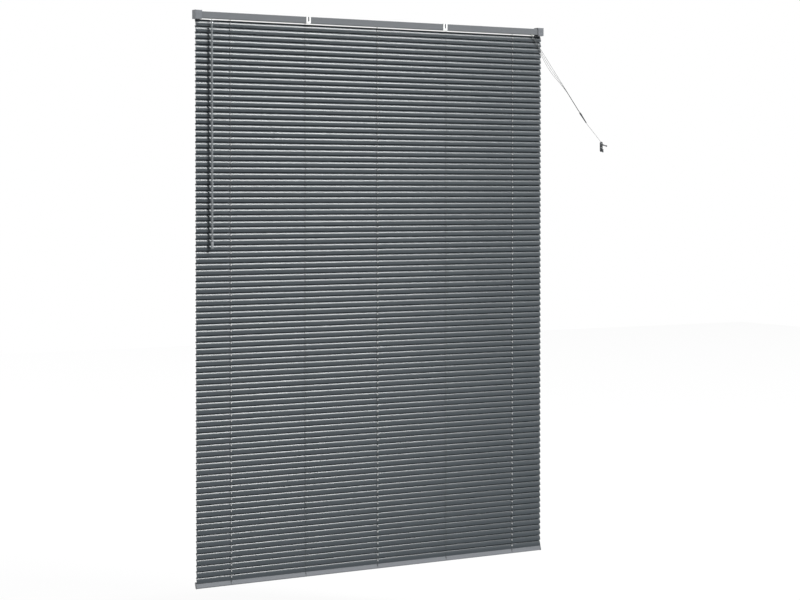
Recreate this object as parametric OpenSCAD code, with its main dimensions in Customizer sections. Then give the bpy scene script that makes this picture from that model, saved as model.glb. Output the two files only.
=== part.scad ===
// Aluminium venetian blind with 25 mm slats, hung from two box brackets and two centre supports.
// X runs along the width with 0 at the middle, Y = 0 is the wall and -Y is the room, Z is up.
// The origin is the middle of the four wall screw holes. The slats are shown lowered and closed.

/* [Blind] */
// Width over the outer faces of the two box brackets
blind_w = 1600; // [1400:10:1800]
// Number of slats
slat_count = 93; // [60:1:93]
// Distance from slat to slat down the ladders
slat_pitch = 23.05; // [22.4:0.05:23.4]
// Distance of the outer ladders from the brackets' outer faces
ladder_inset = 150; // [130:5:180]
// Distance of the tilter and its wand from the left outer face
tilter_inset = 68; // [60:1:90]
// Distance of the cord lock's guide pin from the right outer face
lock_inset = 62; // [55:1:90]

/* [Brackets] */
// Width of a box bracket along the headrail
bracket_w = 28; // [26:1:34]
// Height of a box bracket
bracket_h = 34; // [34:0.5:40]
// Sheet thickness of the brackets and the centre supports
bracket_wall = 1.2; // [1:0.1:1.5]
// Height of the pressed ribs that the headrail sits on
seat_h = 2.8; // [2.2:0.1:3.2]
// Room between the headrail and the wall side of a bracket
head_back_gap = 0.8; // [0.5:0.1:1.5]
// Room between the headrail and the bracket's door
head_front_gap = 1.8; // [1.2:0.1:2.5]
// Radius of every screw hole
screw_r = 2.5; // [2:0.1:2.8]
// Spacing of a bracket's two wall screws, one above the other
wall_screw_gap = 16; // [14:1:18]
// Width of a centre support
support_w = 19; // [16:1:24]
// Distance of each centre support from the nearest inner ladder
support_offset = 10; // [10:1:20]

/* [Headrail] */
// Depth of the headrail from front to back
headrail_d = 25; // [25:0.5:28]
// Height of the headrail
headrail_h = 25; // [24.5:0.1:25.4]
// Sheet thickness of the headrail
headrail_wall = 0.8; // [0.6:0.1:1]
// Outer bend radius of the headrail
headrail_bend = 1.2; // [1.1:0.1:1.5]
// Width of the lips turned in along the open top
headrail_lip = 4; // [3:0.5:5]

/* [Slats and ladders] */
// Width of a slat across its chord
slat_w = 25; // [24.5:0.1:25.5]
// Sheet thickness of a slat
slat_t = 0.2; // [0.16:0.02:0.3]
// Height of the slat's crown
slat_crown = 2.2; // [1.8:0.1:2.6]
// Tilt of the closed slats from level
slat_tilt = 71; // [68:0.5:73]
// Distance of the slat ends from the brackets' outer faces
slat_end_gap = 5; // [4:0.5:10]
// Drop from the headrail's underside to the middle of the first slat
first_drop = 16.3; // [16.1:0.1:18]
// Width of the route slots that the lift cords pass through
slot_w = 4.5; // [3.5:0.1:6]
// Length of the route slots across the slat
slot_l = 7.5; // [6.5:0.1:8]
// Side of a ladder string
string_d = 1; // [0.8:0.1:1.2]

/* [Bottom rail] */
// Width of the bottom rail's section
rail_w = 25; // [24:0.5:26]
// Thickness of the bottom rail's section
rail_t = 9; // [8:0.5:10]
// Wall of the bottom rail
rail_wall = 0.9; // [0.7:0.1:1.2]
// Corner radius of the bottom rail
rail_r = 3; // [2:0.1:3.5]
// Drop from the last slat's middle to the bottom rail's middle
rail_drop = 20; // [19:0.1:22]
// Flange thickness of the bottom rail's end caps
rail_cap_t = 3; // [2:0.5:5]

/* [Tilt gear] */
// Teeth of the tilt gear, which is also the number of wand turns for one turn of the rod
gear_teeth = 18; // [16:1:18]
// Tooth pitch along the worm
gear_lead = 1.95; // [1.9:0.05:2]
// Mean radius of the worm
worm_r = 2.5; // [2.3:0.05:2.6]
// Slope of the worm's axis below level
worm_slope = 30; // [28:1:32]
// Radius of the worm's plain shaft
worm_shaft_r = 1.6; // [1.4:0.1:1.6]
// Tilt rod, across the flats
rod_af = 5; // [4.5:0.1:5]
// Height of the tilt rod over the headrail's underside
rod_height = 13; // [12.8:0.1:13.4]
// Running clearance of turning parts, on the radius
run_gap = 0.06; // [0.03:0.01:0.08]

/* [Wand] */
// Length of the wand with its tip
wand_l = 862; // [500:1:1200]
// Wand across the flats
wand_af = 8; // [6:0.5:9]
// Wire radius of the wand's hook and of the worm's eye
wire_r = 0.6; // [0.5:0.05:0.65]

/* [Cords] */
// Diameter of the lift cords and of the pull cords
cord_d = 1.4; // [1:0.1:1.5]
// Sideways step from a ladder to its lift cord
cord_offset = 2.2; // [2:0.1:2.4]
// Distance between neighbouring cords in the headrail
lane_gap = 1.8; // [1.7:0.05:1.9]
// Length of the cord connector
connector_l = 54; // [40:1:70]

/* [Hidden] */
$fn = 48;
grey_metal = "#7b7d80";
slat_grey = "#63686b";
light_plastic = "#c9cccd";
dark_plastic = "#3c3f42";
cord_colour = "#d5d6d4";

// Cutting tools run past the face they cut by this much
past = 1;
// Pieces that only slide together stay this far apart
seat_gap = 0.2;

// Headrail box: wall side, room side, underside, top and inner faces
head_back = -(bracket_wall + head_back_gap);
head_front = head_back - headrail_d;
head_low = -bracket_h / 2 + bracket_wall + seat_h;
head_top = head_low + headrail_h;
head_floor = head_low + headrail_wall;
inner_front = head_front + headrail_wall;
inner_back = head_back - headrail_wall;
floor_margin = headrail_bend - headrail_wall + 0.1;
mid_y = (head_front + head_back) / 2;
rod_z = head_low + rod_height;
bracket_d = -head_front + head_front_gap + bracket_wall;
cap_flange = 1.5;
head_l = blind_w - 2 * (bracket_wall + cap_flange + seat_gap);

// Door pivots, the ears that carry them and the left bracket's inner side
pivot_r = 1.1;
knuckle_r = 2.2;
pivot_y = -bracket_d + knuckle_r;
pivot_z = bracket_h / 2 - 2.7;
ear_low = head_top + 0.4;
bracket_in = -blind_w / 2 + bracket_w;

// Stations along the width
ladder_count = 5;
ladder_gap = (blind_w - 2 * ladder_inset) / (ladder_count - 1);
ladder_x = [for (i = [0:ladder_count - 1]) -blind_w / 2 + ladder_inset + i * ladder_gap];
cord_ladders = [0, 2, 4];
support_x = [ladder_x[1] + support_offset, ladder_x[3] - support_offset];
tilter_x = -blind_w / 2 + tilter_inset;
lock_x = blind_w / 2 - lock_inset;

// Slat section. A station c runs down the chord, d is a depth under the convex face, and the crown is a
// parabola. The last stretch at the lower edge hangs plumb and the upper edge is trimmed plumb, so the
// strings lie flat on both.
half_w = slat_w / 2;
slot_station = slot_l / 2 + 0.8;
edge_drop = 1;
function crown(c) = slat_crown * (1 - pow(c / half_w, 2));
function slat_at(c, d) = [
  -c * cos(slat_tilt) - (crown(c) - d) * sin(slat_tilt),
  -c * sin(slat_tilt) + (crown(c) - d) * cos(slat_tilt)];
function on_line(a, b, y) = [y, a[1] + (y - a[0]) * (b[1] - a[1]) / (b[0] - a[0])];
lower_c = half_w - edge_drop;
slat_face = [slat_at(-half_w, 0), slat_at(-slot_station, 0), slat_at(slot_station, 0), slat_at(lower_c, 0)];
slat_inside = [slat_at(-half_w, slat_t), slat_at(-slot_station, slat_t), slat_at(slot_station, slat_t)];
edge_front = slat_face[3][0];
edge_back = slat_inside[0][0];
front_string_y = mid_y + edge_front;
back_string_y = mid_y + edge_back;
cord_y = mid_y - crown(slot_station) * sin(slat_tilt) + slat_t / 2;
slat_l = blind_w - 2 * slat_end_gap;
slat_1_z = head_low - first_drop;
last_slat_z = slat_1_z - (slat_count - 1) * slat_pitch;

// Bottom rail: its middle, its length, and where the strings land. The front string meets the rail's face at
// the chord station tail_a and the height tail_z, and the back string ends on the rail's upper edge.
rail_z = last_slat_z - rail_drop;
rail_l = blind_w - 2 * slat_end_gap - 2 * rail_cap_t + 4;
tail_b = rail_t / 2 + seat_gap;
tail_a = (-edge_front - tail_b * sin(slat_tilt)) / cos(slat_tilt);
tail_z = rail_z - tail_a * sin(slat_tilt) + tail_b * cos(slat_tilt);
back_b = (rail_w / 2 * cos(slat_tilt) - edge_back) / sin(slat_tilt);
back_low = rail_z + rail_w / 2 * sin(slat_tilt) + back_b * cos(slat_tilt) + seat_gap;
plug_r = 3;

// Ladder drums sit between the strings
drum_r = -edge_front - 0.05;
drum_flange_r = drum_r + string_d + 1.2;
drum_half = 4.2;
flange_t = 1.2;
journal_r = 3.7;
cradle_in = 4.6;
cradle_out = 6.8;
rod_r = rod_af / 2 / cos(30);

// Tilt gear and worm. The worm's axis passes under the gear and slopes down to the room.
gear_r = gear_teeth * gear_lead / (2 * PI);
tooth_h = 0.55;
thread_h = 0.55;
mesh_gap = 0.3;
worm_axis_drop = gear_r + worm_r + mesh_gap;
worm_turns = 4;
worm_l = worm_turns * gear_lead;
hub_r = 4;
gear_w = 2.2;
collar_t = 1.3;
worm_end_gap = 0.2;
worm_tail = 6.2;
tilter_half = 8;
tilter_cavity = 3.5;
tilter_top = rod_z + gear_r + tooth_h + 1.4;
snout_r = worm_shaft_r + run_gap + 1.1;
snout_l = 15;
eye_at = 23;
eye_r = 4.5 * wire_r;
neck_r = 0.75;
worm_mid = [tilter_x, mid_y + worm_axis_drop * sin(worm_slope), rod_z - worm_axis_drop * cos(worm_slope)];
eye = worm_mid + eye_at * [0, -cos(worm_slope), -sin(worm_slope)];

// Wand link: a wire frame whose top bar dips through the eye. The dip lies inside the eye's own circle and
// the bar is level with the eye's middle, so the two stay clear of each other while both turn.
link_l = 9;
dip_r = eye_r - 2 * wire_r - run_gap;
link_half = eye_r + 2 * wire_r + 0.3;
link_pin_z = eye[2] - link_l;
tang_t = 3.2;
tang_l = 9;
tip_l = 26;
wand_top_z = link_pin_z - tang_l + 2.5;

// Cord lanes in the headrail and the cord lock, which the cords leave in line with the pull cords
lane_z = head_floor + 4.2;
lane_room = 0.2;
lock_wall = 0.8;
lane_y = [for (k = [0:2]) inner_front + floor_margin + lock_wall + lane_room + cord_d / 2 + k * lane_gap];
pin_r = 1.6;
bend_r = pin_r + 0.1 + cord_d / 2;
pin_z = lane_z - bend_r;
exit_z = head_low - 3;
pull_step = [16.8, -21.2];
leave = pull_step / norm(pull_step);
bend_angle = atan2(-leave[1], leave[0]);
turn_end = [lock_x + bend_r * -leave[1], pin_z + bend_r * leave[0]];
exit_x = turn_end[0] + (turn_end[1] - exit_z) * leave[0] / -leave[1];
lock_front = lane_y[0] - cord_d / 2 - lane_room;
lock_back = lane_y[2] + cord_d / 2 + lane_room;
roller_r = 3;
roller_at = bend_r + cord_d / 2 + roller_r + 0.2;
roller_lean = 30;
roller_travel = 3;
roller_x = lock_x + roller_at * sin(roller_lean);
roller_z = pin_z + roller_at * cos(roller_lean);
axle_r = 1.2;

// Free pull cords: 15 steps from the cord lock to the connector, each cord a little slacker than the last
pull_start = [exit_x, exit_z];
pull_sag = [0, 0, 1.6, 3.2, 4.4, 5, 4.8, 4, 2.8, 1.6, 0.6, 0, 0, 0, 0, 0];
pull_slack = [0.2, 2.6, 5];
pull_steps = len(pull_sag) - 1;
connector_y = mid_y - 3.5;
connector_gap = 1.7;
connector_top = pull_start + pull_steps * pull_step;
connector_tip = connector_top + connector_l * leave;

// Tail cord: a short lead out of the connector, straight steps to the cleat, and one and a quarter turns
// round the root of its upper horn
tail_lead = 8;
tail_step = [9.9, -9.2];
tail_steps = 9;
tail_y_step = 1;
horn_root_r = 3;
loop_r = horn_root_r + cord_d / 2 + 0.15;
tail_turn = 450;
tail_turn_steps = 15;
loop_rise = 2.3;
tail_start_angle = atan2(-tail_step[1], tail_step[0]);
tail_first = connector_tip + tail_lead * leave;
tail_last = tail_first + tail_steps * tail_step;
horn_root = tail_last - loop_r * [sin(tail_start_angle), cos(tail_start_angle)];
loop_y = connector_y + tail_steps * tail_y_step;
tail_route = concat(
  [[connector_tip[0], connector_y, connector_tip[1]]],
  [for (i = [0:tail_steps - 1]) [tail_first[0] + i * tail_step[0], connector_y + i * tail_y_step,
    tail_first[1] + i * tail_step[1]]],
  [for (i = [0:tail_turn_steps]) let (a = tail_start_angle + i * tail_turn / tail_turn_steps)
    [horn_root[0] + loop_r * sin(a), loop_y + i * loop_rise / tail_turn_steps,
      horn_root[1] + loop_r * cos(a)]]);

// Cleat, seen from the room: a plate on the wall with a long upper horn and a short lower horn
cleat_w = 13;
cleat_h = 44;
cleat_t = 3.5;
cleat_screws = [16, -3];
cleat_screw_r = 2;
horn_rise = 8;
horn_out = 16;
droop_l = 26;
droop_angle = 12;
finger_r = 2.8;
ball_r = 3.6;
lower_fall = 13;
lower_out = 13;
lower_l = 8;
cleat_x = horn_root[0];
cleat_z = horn_root[1] - horn_rise;

// Flat shapes

// Rectangle with round corners, centred
module rounded(w, h, r) {
  square([w, h - 2 * r], center = true);
  square([w - 2 * r, h], center = true);
  for (x = [-1, 1], y = [-1, 1]) translate([x * (w / 2 - r), y * (h / 2 - r)]) circle(r);
}

// Slot with round ends, centred, its length along X
module slot(l, w) {
  square([l - w, w], center = true);
  for (x = [-1, 1]) translate([x * (l - w) / 2, 0]) circle(w / 2);
}

// A flat shape drawn in Y and Z, carried along X from x0 to x1
module along_x(x0, x1) {
  translate([x0, 0, 0]) rotate([90, 0, 90]) linear_extrude(x1 - x0) children();
}

// Round bar along X through [y, z]
module bar_x(x0, x1, y, z, r) {
  translate([x0, y, z]) rotate([0, 90, 0]) cylinder(h = x1 - x0, r = r);
}

// Round bar along Y through [x, z]
module bar_y(y0, y1, x, z, r) {
  translate([x, y0, z]) rotate([-90, 0, 0]) cylinder(h = y1 - y0, r = r);
}

// Block between two corners
module block(a, b) {
  translate(a) cube(b - a);
}

// Cords

function unit(v) = v / norm(v);
function tangent(p, i) = unit(p[min(i + 1, len(p) - 1)] - p[max(i - 1, 0)]);
function square_to(v, t) = unit(v - (v * t) * t);
// Side vector of each ring, carried along the route without twist
function carry(p, v, i) = i == len(p) ? [] :
  let (s = square_to(v, tangent(p, i))) concat([s], carry(p, s, i + 1));

// Tube with flat ends along the route p, one ring of eight corners at each point
module tube(p, d, side = [0, 1, 0]) {
  n = 8;
  s = carry(p, side, 0);
  corners = [for (i = [0:len(p) - 1], k = [0:n - 1])
    p[i] + d / 2 * (cos(k * 360 / n) * s[i] + sin(k * 360 / n) * cross(tangent(p, i), s[i]))];
  walls = [for (i = [0:len(p) - 2], k = [0:n - 1])
    [i * n + k, (i + 1) * n + k, (i + 1) * n + (k + 1) % n, i * n + (k + 1) % n]];
  first = [for (k = [0:n - 1]) k];
  last = [for (k = [n - 1:-1:0]) (len(p) - 1) * n + k];
  polyhedron(corners, concat([first], walls, [last]));
}

// Headrail

module channel_section() {
  translate([mid_y, (head_low + head_top) / 2]) difference() {
    rounded(headrail_d, headrail_h, headrail_bend);
    rounded(headrail_d - 2 * headrail_wall, headrail_h - 2 * headrail_wall, headrail_bend - headrail_wall);
    translate([0, headrail_h / 2])
      square([headrail_d - 2 * headrail_lip, 2 * headrail_bend + past], center = true);
  }
}

// Opening in the floor for a ladder and its lift cord
module ladder_opening(x) {
  translate([x + cord_offset / 2, (front_string_y + back_string_y) / 2, head_low - past])
    rotate(90) linear_extrude(2 * past + headrail_wall + 3)
      slot(back_string_y - front_string_y + 2 * string_d + 6, cord_offset + 4.4);
}

module headrail() {
  color(grey_metal) difference() {
    along_x(-head_l / 2, head_l / 2) channel_section();
    for (x = ladder_x) ladder_opening(x);
    block([tilter_x - snout_r - 0.4, inner_front + 0.6, head_low - past],
      [tilter_x + snout_r + 0.4, worm_mid[1] - 1, head_floor + 0.1]);
    block([lock_x + 0.3, lock_front - lock_wall - seat_gap, head_low - past],
      [exit_x + 6.2, lock_back + lock_wall + seat_gap, head_floor + 0.1]);
  }
}

// Moulded plug in the left end of the headrail, hollow from the inside
module end_cap() {
  plug = 8;
  plug_d = headrail_d - 2 * headrail_wall - 2 * seat_gap;
  plug_h = headrail_h - 2 * headrail_wall - 2 * seat_gap;
  mid_z = (head_low + head_top) / 2;
  x0 = -head_l / 2;
  along_x(x0 - cap_flange, x0) translate([mid_y, mid_z]) rounded(headrail_d, headrail_h, headrail_bend);
  along_x(x0, x0 + plug) translate([mid_y, mid_z]) difference() {
    rounded(plug_d, plug_h, headrail_bend - headrail_wall);
    rounded(plug_d - 3, plug_h - 3, headrail_bend - headrail_wall);
    translate([0, plug_h / 2]) square([plug_d - 2 * headrail_lip, 6], center = true);
  }
}

module headrail_end_cap_left() {
  color(grey_metal) end_cap();
}

module headrail_end_cap_right() {
  color(grey_metal) mirror([1, 0, 0]) end_cap();
}

// Box brackets

// Left bracket: side, back, roof and floor of folded sheet, an ear for the door's pivot and two pressed ribs
module box_bracket() {
  x0 = -blind_w / 2;
  top = bracket_h / 2;
  difference() {
    union() {
      block([x0, -bracket_d, -top], [x0 + bracket_wall, 0, top]);
      block([x0, -bracket_wall, -top], [bracket_in, 0, top]);
      block([x0, pivot_y + knuckle_r + 0.4, top - bracket_wall], [bracket_in, 0, top]);
      block([x0, -bracket_d + bracket_wall + seat_gap, -top], [bracket_in, 0, -top + bracket_wall]);
      block([bracket_in - bracket_wall, pivot_y - 1.8, ear_low], [bracket_in, -bracket_wall, top]);
      for (y = [mid_y - 6, mid_y + 6]) bar_rib(y);
    }
    bar_x(x0 - past, x0 + bracket_wall + past, pivot_y, pivot_z, pivot_r + run_gap);
    bar_x(bracket_in - bracket_wall - past, bracket_in + past, pivot_y, pivot_z, pivot_r + run_gap);
    for (z = [-1, 1])
      bar_y(-bracket_wall - past, past, x0 + bracket_w / 2, z * wall_screw_gap / 2, screw_r);
    for (y = [-1, 1])
      translate([x0 + bracket_w / 2, mid_y + 4 + y * 5, top - bracket_wall - past])
        cylinder(h = bracket_wall + 2 * past, r = screw_r);
  }
}

// Pressed rib in the bracket's floor, flat on top where the headrail sits
module bar_rib(y) {
  rib_w = 4;
  block([-blind_w / 2 + bracket_wall, y - rib_w / 2, -bracket_h / 2],
    [bracket_in - 2, y + rib_w / 2, head_low]);
}

module box_bracket_left() {
  color(grey_metal) box_bracket();
}

module box_bracket_right() {
  color(grey_metal) mirror([1, 0, 0]) box_bracket();
}

// Left door: a plate rolled round its pivot at the top, with a pressed pad that holds the headrail back
module bracket_door() {
  x0 = -blind_w / 2 + bracket_wall + seat_gap;
  x1 = bracket_in - bracket_wall - seat_gap;
  y1 = -bracket_d + bracket_wall;
  pad_r = 4;
  difference() {
    union() {
      block([x0, -bracket_d, -bracket_h / 2], [x1, y1, pivot_z]);
      bar_x(x0, x1, pivot_y, pivot_z, knuckle_r);
      bar_x(-blind_w / 2 + 0.1, bracket_in - 0.1, pivot_y, pivot_z, pivot_r);
      bar_y(y1 - past / 2, head_front - seat_gap, (x0 + x1) / 2, (head_low + head_top) / 2, pad_r);
    }
    bar_y(-bracket_d - past, -bracket_d + 0.7, (x0 + x1) / 2, (head_low + head_top) / 2, pad_r - 1.2);
  }
}

module bracket_door_left() {
  color(grey_metal) bracket_door();
}

module bracket_door_right() {
  color(grey_metal) mirror([1, 0, 0]) bracket_door();
}

// Centre support: one strip folded round the headrail, slotted in front to spring, hooked under the floor
module centre_support(x) {
  top = head_top + seat_gap + bracket_wall;
  x0 = x - support_w / 2;
  x1 = x + support_w / 2;
  front = head_front - bracket_wall;
  slot_half = support_w / 6;
  hook = 5;
  color("white") difference() {
    union() {
      block([x0, -bracket_wall, head_low + 2], [x1, 0, top]);
      block([x0, front, top - bracket_wall], [x1, 0, top]);
      block([x0, front, head_low - bracket_wall], [x1, head_front, top]);
      block([x0, front, head_low - bracket_wall], [x1, head_front + hook, head_low]);
    }
    block([x - slot_half, front - past, head_low + 7], [x + slot_half, mid_y, top + past]);
    bar_y(-bracket_wall - past, past, x, 0, screw_r);
  }
}

module centre_support_left() {
  centre_support(support_x[0]);
}

module centre_support_right() {
  centre_support(support_x[1]);
}

// Tilter

// Places children with their Z along the worm's axis, pointing out to the room, and Y towards the gear
module on_worm() {
  translate(worm_mid) rotate([90 + worm_slope, 0, 0]) children();
}

module tilter_housing() {
  x0 = tilter_x - tilter_half;
  x1 = tilter_x + tilter_half;
  cavity_r = gear_r + tooth_h + 0.5;
  back = inner_back - floor_margin;
  color(light_plastic) difference() {
    union() {
      block([x0, mid_y - 9, head_floor], [x1, back, tilter_top]);
      intersection() {
        on_worm() cylinder(h = snout_l, r = snout_r);
        block([x0, head_front - 4, head_low - 6], [x1, back, rod_z]);
      }
    }
    bar_x(tilter_x - tilter_cavity, tilter_x + tilter_cavity, mid_y, rod_z, cavity_r);
    block([tilter_x - tilter_cavity, mid_y - cavity_r, rod_z],
      [tilter_x + tilter_cavity, mid_y + cavity_r, tilter_top + past]);
    bar_x(x0 - past, x1 + past, mid_y, rod_z, hub_r + run_gap);
    block([x0 - past, mid_y - hub_r - run_gap, rod_z],
      [x1 + past, mid_y + hub_r + run_gap, tilter_top + past]);
    on_worm() translate([0, 0, -worm_l / 2 - worm_end_gap])
      cylinder(h = worm_l + collar_t + 2 * worm_end_gap, r = worm_r + thread_h + 0.35);
    on_worm() translate([0, 0, -worm_tail - worm_end_gap]) cylinder(h = eye_at, r = worm_shaft_r + run_gap);
  }
}

// Snap-in lid whose two saddles close the bearings of the gear's hub
module tilter_lid() {
  color(light_plastic) difference() {
    union() {
      block([tilter_x - tilter_half, mid_y - 9, tilter_top],
        [tilter_x + tilter_half, inner_back - floor_margin, tilter_top + 1.4]);
      for (s = [-1, 1]) translate([s * (tilter_cavity + tilter_half) / 2, 0, 0])
        block([tilter_x - 2, mid_y - hub_r, rod_z], [tilter_x + 2, mid_y + hub_r, tilter_top + 0.5]);
    }
    bar_x(tilter_x - tilter_half - past, tilter_x + tilter_half + past, mid_y, rod_z, hub_r + run_gap);
  }
}

// Gear with straight-sided teeth, one of them pointing at the worm
module gear_shape() {
  n = gear_teeth;
  root_r = gear_r - tooth_h;
  tip_r = gear_r + tooth_h;
  function corner(k, a, r) = r * [cos(k * 360 / n + a), sin(k * 360 / n + a)];
  root_half = 360 / n * 0.26;
  tip_half = 360 / n * 0.07;
  tooth = [[-root_half, root_r], [-tip_half, tip_r], [tip_half, tip_r], [root_half, root_r]];
  polygon([for (k = [0:n - 1], q = tooth) corner(k, q[0], q[1])]);
}

module tilter_gear() {
  color("goldenrod") difference() {
    union() {
      translate([tilter_x - gear_w / 2, mid_y, rod_z]) rotate([90, 0, 90]) rotate(worm_slope - 90)
        linear_extrude(gear_w) gear_shape();
      bar_x(tilter_x - tilter_half, tilter_x + tilter_half, mid_y, rod_z, hub_r);
    }
    rod_bore(tilter_x - tilter_half - past, tilter_x + tilter_half + past);
  }
}

// Hexagonal bore for the tilt rod
module rod_bore(x0, x1) {
  translate([x0, mid_y, rod_z]) rotate([0, 90, 0]) cylinder(h = x1 - x0, r = rod_r + run_gap, $fn = 6);
}

// Worm with a rolled right-hand thread, a thrust collar and the eye that takes the wand's hook
module tilter_worm() {
  slices_per_turn = 12;
  color("silver") {
    on_worm() {
      linear_extrude(worm_l, center = true, twist = -360 * worm_turns,
        slices = slices_per_turn * worm_turns, $fn = 16) translate([0, -thread_h]) circle(worm_r);
      translate([0, 0, -worm_tail]) cylinder(h = snout_l + worm_tail, r = worm_shaft_r);
      cylinder(h = eye_at - eye_r, r = neck_r);
      translate([0, 0, worm_l / 2]) cylinder(h = collar_t, r = worm_r + 0.3);
    }
    translate(eye) rotate([0, 90, 0]) rotate_extrude() translate([eye_r, 0]) circle(wire_r);
  }
}

module tilt_rod() {
  x0 = tilter_x - tilter_half - 4;
  x1 = ladder_x[ladder_count - 1] + cradle_out + 6;
  color("silver") translate([x0, mid_y, rod_z]) rotate([0, 90, 0]) cylinder(h = x1 - x0, r = rod_r, $fn = 6);
}

// Ladder drum: a grooved reel with a bearing journal on each side
module ladder_drum(i) {
  color(light_plastic) translate([ladder_x[i], 0, 0]) difference() {
    union() {
      bar_x(-cradle_out, cradle_out, mid_y, rod_z, journal_r);
      bar_x(-drum_half, drum_half, mid_y, rod_z, drum_r);
      for (x = [-drum_half, drum_half - flange_t]) bar_x(x, x + flange_t, mid_y, rod_z, drum_flange_r);
    }
    rod_bore(-cradle_out - past, cradle_out + past);
  }
}

// Cradle: two uprights with snap-in bearings on a base that stands over the ladder's opening
module drum_cradle(i) {
  base_t = 1.5;
  upright_half = 4.6;
  mouth = 6.4;
  color(light_plastic) translate([ladder_x[i], 0, 0]) difference() {
    union() {
      block([-cradle_out - 3, inner_front + floor_margin, head_floor],
        [cradle_out + 3, inner_back - floor_margin, head_floor + base_t]);
      for (s = [-1, 1]) translate([s * (cradle_in + cradle_out) / 2, 0, 0])
        block([-(cradle_out - cradle_in) / 2, mid_y - upright_half, head_floor],
          [(cradle_out - cradle_in) / 2, mid_y + upright_half, rod_z + 3]);
    }
    bar_x(-cradle_out - past, cradle_out + past, mid_y, rod_z, journal_r + run_gap);
    block([-cradle_out - past, mid_y - mouth / 2, rod_z],
      [cradle_out + past, mid_y + mouth / 2, rod_z + 3 + past]);
    ladder_opening(0);
  }
}

// Cord lock

// Frame of two cheeks with a slanted slot each, a window for the cords and a snout through the floor
module cord_lock_housing() {
  x0 = lock_x - 14;
  x1 = exit_x + 6;
  top = roller_z + roller_travel + 3;
  y0 = lock_front - lock_wall;
  y1 = lock_back + lock_wall;
  color(light_plastic) difference() {
    union() {
      for (y = [y0, lock_back]) block([x0, y, head_floor], [x1, y + lock_wall, top]);
      block([x0, y0, head_floor], [x0 + 4, y1, top]);
      block([x1 - 3, y0, head_floor], [x1, y1, top]);
      block([lock_x + 0.5, y0, exit_z + seat_gap], [x1, y1, head_floor + 0.1]);
    }
    block([x0 - past, lock_front, lane_z - cord_d], [x0 + 4 + past, lock_back, lane_z + cord_d]);
    block([lock_x + 2.2, lock_front, exit_z - past], [x1 - 1.2, lock_back, head_floor + past]);
    bar_y(y0 - past, y1 + past, lock_x, pin_z, pin_r + 0.03);
    translate([roller_x, y0 - past, roller_z]) rotate([-90, 0, 0]) rotate(roller_lean - 90)
      translate([roller_travel / 2, 0, 0]) linear_extrude(y1 - y0 + 2 * past)
        slot(roller_travel + 2 * (axle_r + run_gap), 2 * (axle_r + run_gap));
  }
}

module cord_lock_pin() {
  color("silver") bar_y(lock_front - lock_wall, lock_back + lock_wall, lock_x, pin_z, pin_r);
}

// Fluted roller that drops on the cords, with an axle in the two slots
module cord_lock_roller() {
  flutes = 18;
  color("goldenrod") union() {
    translate([roller_x, lock_front + seat_gap, roller_z]) rotate([-90, 0, 0])
      linear_extrude(lock_back - lock_front - 2 * seat_gap)
        polygon([for (k = [0:2 * flutes - 1])
          (roller_r - (k % 2) * 0.35) * [cos(k * 180 / flutes), sin(k * 180 / flutes)]]);
    bar_y(lock_front - lock_wall, lock_back + lock_wall, roller_x, roller_z, axle_r);
  }
}

// Slats and ladders

module slat_section() {
  polygon(concat(
    [on_line(slat_face[0], slat_face[1], edge_back)],
    [slat_face[1], slat_face[2], slat_face[3]],
    [slat_face[3] - [0, edge_drop], slat_face[3] + [slat_t, -edge_drop]],
    [[edge_front + slat_t, slat_at(lower_c, slat_t)[1]]],
    [slat_inside[2], slat_inside[1], slat_inside[0]]));
}

// One slat at the height z, with a route slot for each lift cord
module slat(z) {
  translate([0, mid_y, z]) difference() {
    along_x(-slat_l / 2, slat_l / 2) slat_section();
    for (i = cord_ladders) translate([ladder_x[i] + cord_offset, 0, 0]) rotate([slat_tilt - 90, 0, 0])
      translate([0, -slat_crown, 0]) cube([slot_w, 4, slot_l], center = true);
  }
}

// Straight string down one face of the slats
module string_run(x, y, low) {
  block([x - string_d / 2, y, low], [x + string_d / 2, y + string_d, rod_z]);
}

// Places children on the bottom rail's middle, X across its width to the lower edge and Y out of its face
module on_rail(x) {
  translate([x, mid_y, rail_z]) rotate([90, 0, 90]) rotate(180 + slat_tilt) mirror([0, 1]) children();
}

// The strings pass over the rail's face to its lower edge
module string_tail(x) {
  on_rail(x - string_d / 2) translate([tail_a, tail_b]) linear_extrude(string_d)
    square([rail_w / 2 - rail_r - tail_a, string_d]);
}

// All slats with the five ladders that carry them
module slats() {
  color(slat_grey) union() {
    for (k = [0:slat_count - 1]) slat(slat_1_z - k * slat_pitch);
    for (x = ladder_x) {
      string_run(x, front_string_y - string_d, tail_z);
      string_run(x, back_string_y, back_low);
      string_tail(x);
    }
  }
}

// Bottom rail

module rail_section(inset) {
  rounded(rail_w - 2 * inset, rail_t - 2 * inset, rail_r - inset);
}

module bottom_rail() {
  color("#9a9c9e") difference() {
    on_rail(-rail_l / 2) linear_extrude(rail_l) difference() {
      rail_section(0);
      rail_section(rail_wall);
    }
    for (x = ladder_x) on_rail(x) plug_axis(plug_r);
  }
}

// Round bar through the rail, square to its face
module plug_axis(r) {
  translate([0, -rail_t / 2 - past, 0]) rotate([-90, 0, 0]) cylinder(h = rail_t + 2 * past, r = r);
}

// Moulded cap on the left end of the bottom rail, with a plug inside the tube
module rail_end_cap() {
  lip = 0.6;
  plug = 10;
  on_rail(-rail_l / 2 - rail_cap_t) linear_extrude(rail_cap_t)
    rounded(rail_w + 2 * lip, rail_t + 2 * lip, rail_r + lip);
  on_rail(-rail_l / 2) linear_extrude(plug) difference() {
    rail_section(rail_wall + seat_gap);
    rail_section(rail_wall + seat_gap + 1.2);
  }
}

module rail_end_cap_left() {
  color(dark_plastic) rail_end_cap();
}

module rail_end_cap_right() {
  color(dark_plastic) mirror([1, 0, 0]) rail_end_cap();
}

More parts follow.
